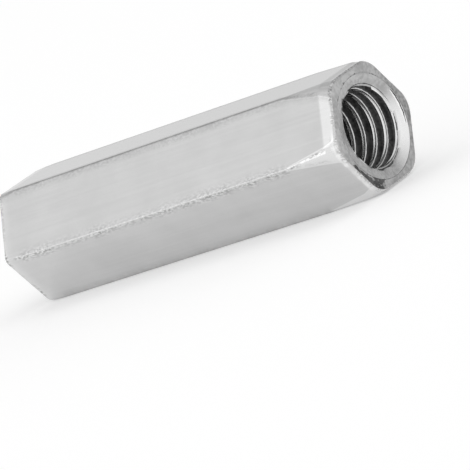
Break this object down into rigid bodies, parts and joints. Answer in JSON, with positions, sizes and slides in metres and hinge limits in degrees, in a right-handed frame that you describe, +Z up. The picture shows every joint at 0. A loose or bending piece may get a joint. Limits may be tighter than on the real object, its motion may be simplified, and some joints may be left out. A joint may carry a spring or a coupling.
{
  "type": "coupling nut",
  "caption": "Long hexagonal nut with a threaded through bore, shallow bevels and countersunk mouths at both ends, for joining two threaded rods end to end.",
  "frame": {"origin": "on the floor under the middle of the nut, which lies on one of its flats", "axes": "+X along the bore towards the end that the picture shows, +Z up, square to the flat it lies on"},
  "size_m": [0.048, 0.015, 0.013],
  "materials": {
    "zinc_plated_steel": "bright zinc plate with faint lengthwise drawing streaks"
  },
  "bodies": {
    "root": {"coupling_nut": "zinc_plated_steel"}
  },
  "joints": []
}
